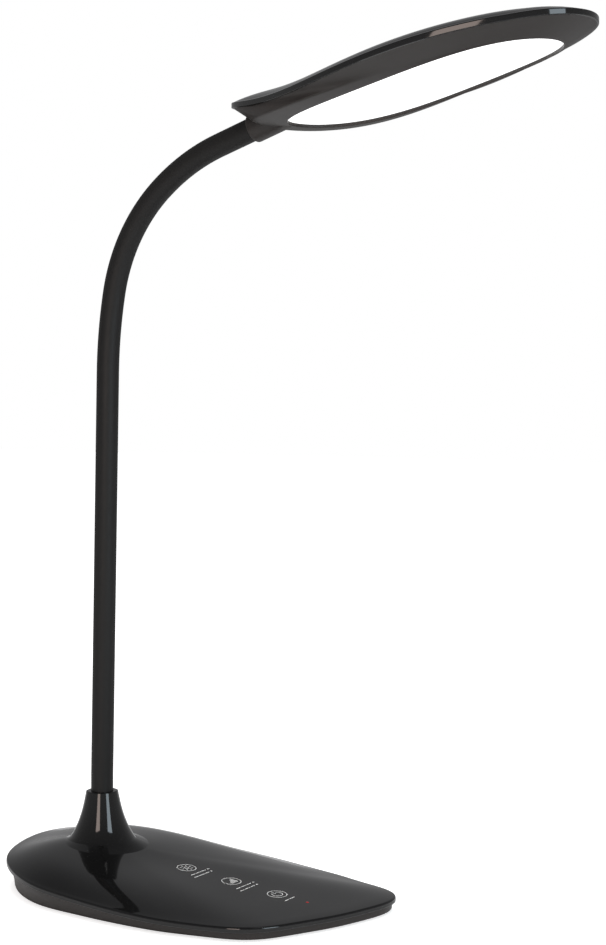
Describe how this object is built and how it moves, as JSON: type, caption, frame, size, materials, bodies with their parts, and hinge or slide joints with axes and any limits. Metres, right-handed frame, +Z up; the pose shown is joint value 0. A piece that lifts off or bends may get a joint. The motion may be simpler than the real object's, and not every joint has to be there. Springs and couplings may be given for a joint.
{
  "type": "gooseneck desk lamp",
  "caption": "Desk lamp with a weighted leaf-shaped base with touch controls, a rubber-sleeved gooseneck and a long slim light head with a recessed diffuser.",
  "frame": {"origin": "on the table, under the gooseneck's axis, at the middle foot's resting face", "axes": "+Z up, -Y forwards, where the head reaches out, +X to the user's right"},
  "size_m": [0.1322, 0.3424, 0.4404],
  "materials": {
    "gloss_black": "high gloss moulded ABS",
    "satin_grey": "fine satin moulded ABS",
    "black_rubber": "matt silicone sleeve and feet",
    "steel": "zinc-plated steel",
    "iron": "black oxide plate",
    "diffuser_white": "opal diffuser, lit",
    "white_plastic": "white reflector and connectors",
    "board_green": "solder-masked glass-fibre board",
    "board_aluminium": "white-masked aluminium board",
    "lead_black": "PVC-jacketed two-core lead",
    "foam_grey": "conductive foam",
    "led_yellow": "phosphor over white package",
    "red_lens": "tinted clear light pipe"
  },
  "bodies": {
    "root": {"ballast_plate": "iron", "base_bottom_shell": "satin_grey", "base_lead_plugs": "white_plastic", "base_screws": "steel", "base_top_cover": "gloss_black", "board_screws": "steel", "bracket_screws": "steel", "dc_jack_housing": "lead_black", "dc_jack_pin": "steel", "driver_board": "board_green", "driver_inductor": "lead_black", "foot_pads": "black_rubber", "neck_base_fitting": "steel", "neck_bracket": "steel", "neck_hose_0": "steel", "neck_lead_0": "lead_black", "neck_lock_nut": "steel", "neck_lock_washer": "steel", "neck_sleeve_0": "black_rubber", "status_light_pipe": "red_lens", "touch_board": "board_green", "touch_foam_pads": "foam_grey", "touch_lead": "lead_black"},
    "neck_1": {"neck_sleeve_1": "black_rubber", "neck_hose_1": "steel", "neck_lead_1": "lead_black"},
    "neck_2": {"neck_sleeve_2": "black_rubber", "neck_hose_2": "steel", "neck_lead_2": "lead_black"},
    "neck_3": {"neck_sleeve_3": "black_rubber", "neck_hose_3": "steel", "neck_lead_3": "lead_black"},
    "neck_4": {"neck_sleeve_4": "black_rubber", "neck_hose_4": "steel", "neck_lead_4": "lead_black"},
    "neck_5": {"neck_sleeve_5": "black_rubber", "neck_hose_5": "steel", "neck_lead_5": "lead_black"},
    "neck_6": {"neck_sleeve_6": "black_rubber", "neck_hose_6": "steel", "neck_lead_6": "lead_black"},
    "neck_7": {"neck_sleeve_7": "black_rubber", "neck_hose_7": "steel", "neck_lead_7": "lead_black"},
    "neck_8": {"neck_sleeve_8": "black_rubber", "neck_hose_8": "steel", "neck_lead_8": "lead_black"},
    "head": {"diffuser": "diffuser_white", "head_grub_screw": "steel", "head_lead_plug": "white_plastic", "head_lower_shell": "satin_grey", "head_top_cover": "gloss_black", "led_board": "board_aluminium", "led_board_screws": "steel", "led_emitters": "led_yellow", "neck_head_fitting": "steel", "neck_hose_9": "steel", "neck_lead_9": "lead_black", "neck_sleeve_9": "black_rubber", "reflector_frame": "white_plastic"}
  },
  "joints": [
    {"name": "lower_pitch", "type": "hinge", "parent": "root", "child": "neck_1", "pos_m": [0, -0.00022, 0.066], "axis": [1, 0, 0], "range_deg": [-15, 15]},
    {"name": "lower_roll", "type": "hinge", "parent": "neck_1", "child": "neck_2", "pos_m": [0, -0.00118, 0.10599], "axis": [0, 0.9997, 0.0241], "range_deg": [-20, 20]},
    {"name": "lower_pitch_2", "type": "hinge", "parent": "neck_2", "child": "neck_3", "pos_m": [0, -0.00214, 0.14597], "axis": [1, 0, 0], "range_deg": [-15, 15]},
    {"name": "upper_roll", "type": "hinge", "parent": "neck_3", "child": "neck_4", "pos_m": [0, -0.00419, 0.23095], "axis": [0, 0.9997, 0.0241], "range_deg": [-15, 15]},
    {"name": "upper_pitch", "type": "hinge", "parent": "neck_4", "child": "neck_5", "pos_m": [0, -0.00527, 0.27594], "axis": [1, 0, 0], "range_deg": [-18, 10]},
    {"name": "upper_pitch_2", "type": "hinge", "parent": "neck_5", "child": "neck_6", "pos_m": [0, -0.00859, 0.31276], "axis": [1, 0, 0], "range_deg": [-18, 10]},
    {"name": "upper_roll_2", "type": "hinge", "parent": "neck_6", "child": "neck_7", "pos_m": [0, -0.01865, 0.34505], "axis": [0, 0.8851, 0.4654], "range_deg": [-15, 15]},
    {"name": "upper_pitch_3", "type": "hinge", "parent": "neck_7", "child": "neck_8", "pos_m": [0, -0.03971, 0.37149], "axis": [1, 0, 0], "range_deg": [-18, 10]},
    {"name": "upper_pitch_4", "type": "hinge", "parent": "neck_8", "child": "head", "pos_m": [0, -0.07037, 0.39007], "axis": [1, 0, 0], "range_deg": [-18, 10]}
  ],
  "couplings": [
    {"joint": "lower_pitch_2", "follows": "lower_pitch", "ratio": 1},
    {"joint": "upper_pitch_2", "follows": "upper_pitch", "ratio": 1},
    {"joint": "upper_pitch_3", "follows": "upper_pitch", "ratio": 1},
    {"joint": "upper_pitch_4", "follows": "upper_pitch", "ratio": 1},
    {"joint": "upper_roll_2", "follows": "upper_roll", "ratio": 1}
  ]
}
